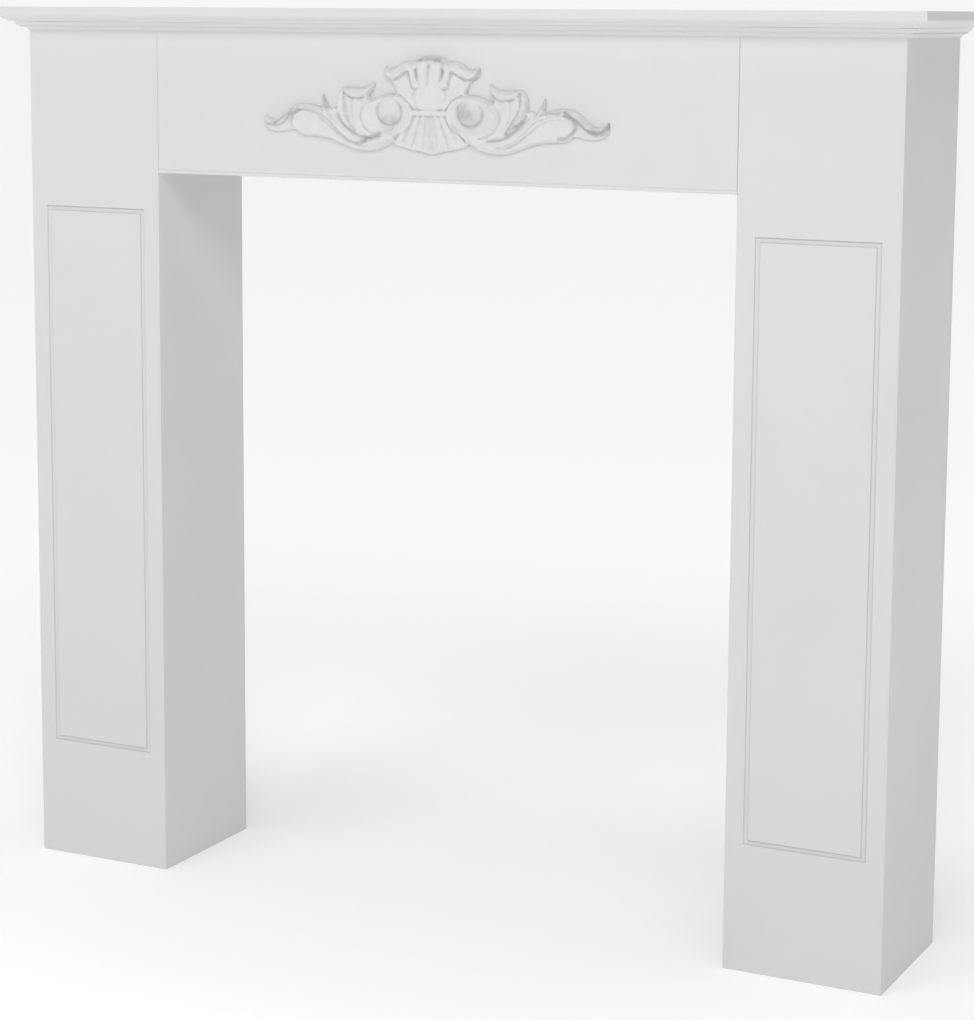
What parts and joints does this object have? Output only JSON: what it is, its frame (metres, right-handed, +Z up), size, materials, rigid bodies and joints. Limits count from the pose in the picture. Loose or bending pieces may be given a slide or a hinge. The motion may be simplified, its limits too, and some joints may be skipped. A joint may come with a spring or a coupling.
{
  "type": "fireplace mantelpiece",
  "caption": "White painted fireplace surround: boxed legs with a routed panel line, plain frieze with a carved scroll and leaf ornament, moulded mantel shelf.",
  "frame": {"origin": "on the floor, under the middle of the whole piece, halfway between the shelf's front edge and the wall", "axes": "+Z up, +X to the right as seen from the room, -Y the front that faces the room, +Y the back that meets the wall"},
  "size_m": [1.1, 0.2064, 1],
  "materials": {
    "satin_white_paint": "smooth satin white paint on fibreboard",
    "rubbed_white_ornament": "matt white paint over pressed wood, rubbed grey brown in the hollows and on the leaf tips"
  },
  "bodies": {
    "root": {"mantel_shelf": "satin_white_paint", "bed_moulding_front": "satin_white_paint", "bed_moulding_left": "satin_white_paint", "bed_moulding_right": "satin_white_paint", "frieze_board": "satin_white_paint", "left_leg_front_board": "satin_white_paint", "left_leg_inner_board": "satin_white_paint", "left_leg_outer_board": "satin_white_paint", "right_leg_front_board": "satin_white_paint", "right_leg_inner_board": "satin_white_paint", "right_leg_outer_board": "satin_white_paint", "carved_ornament": "rubbed_white_ornament"}
  },
  "joints": []
}
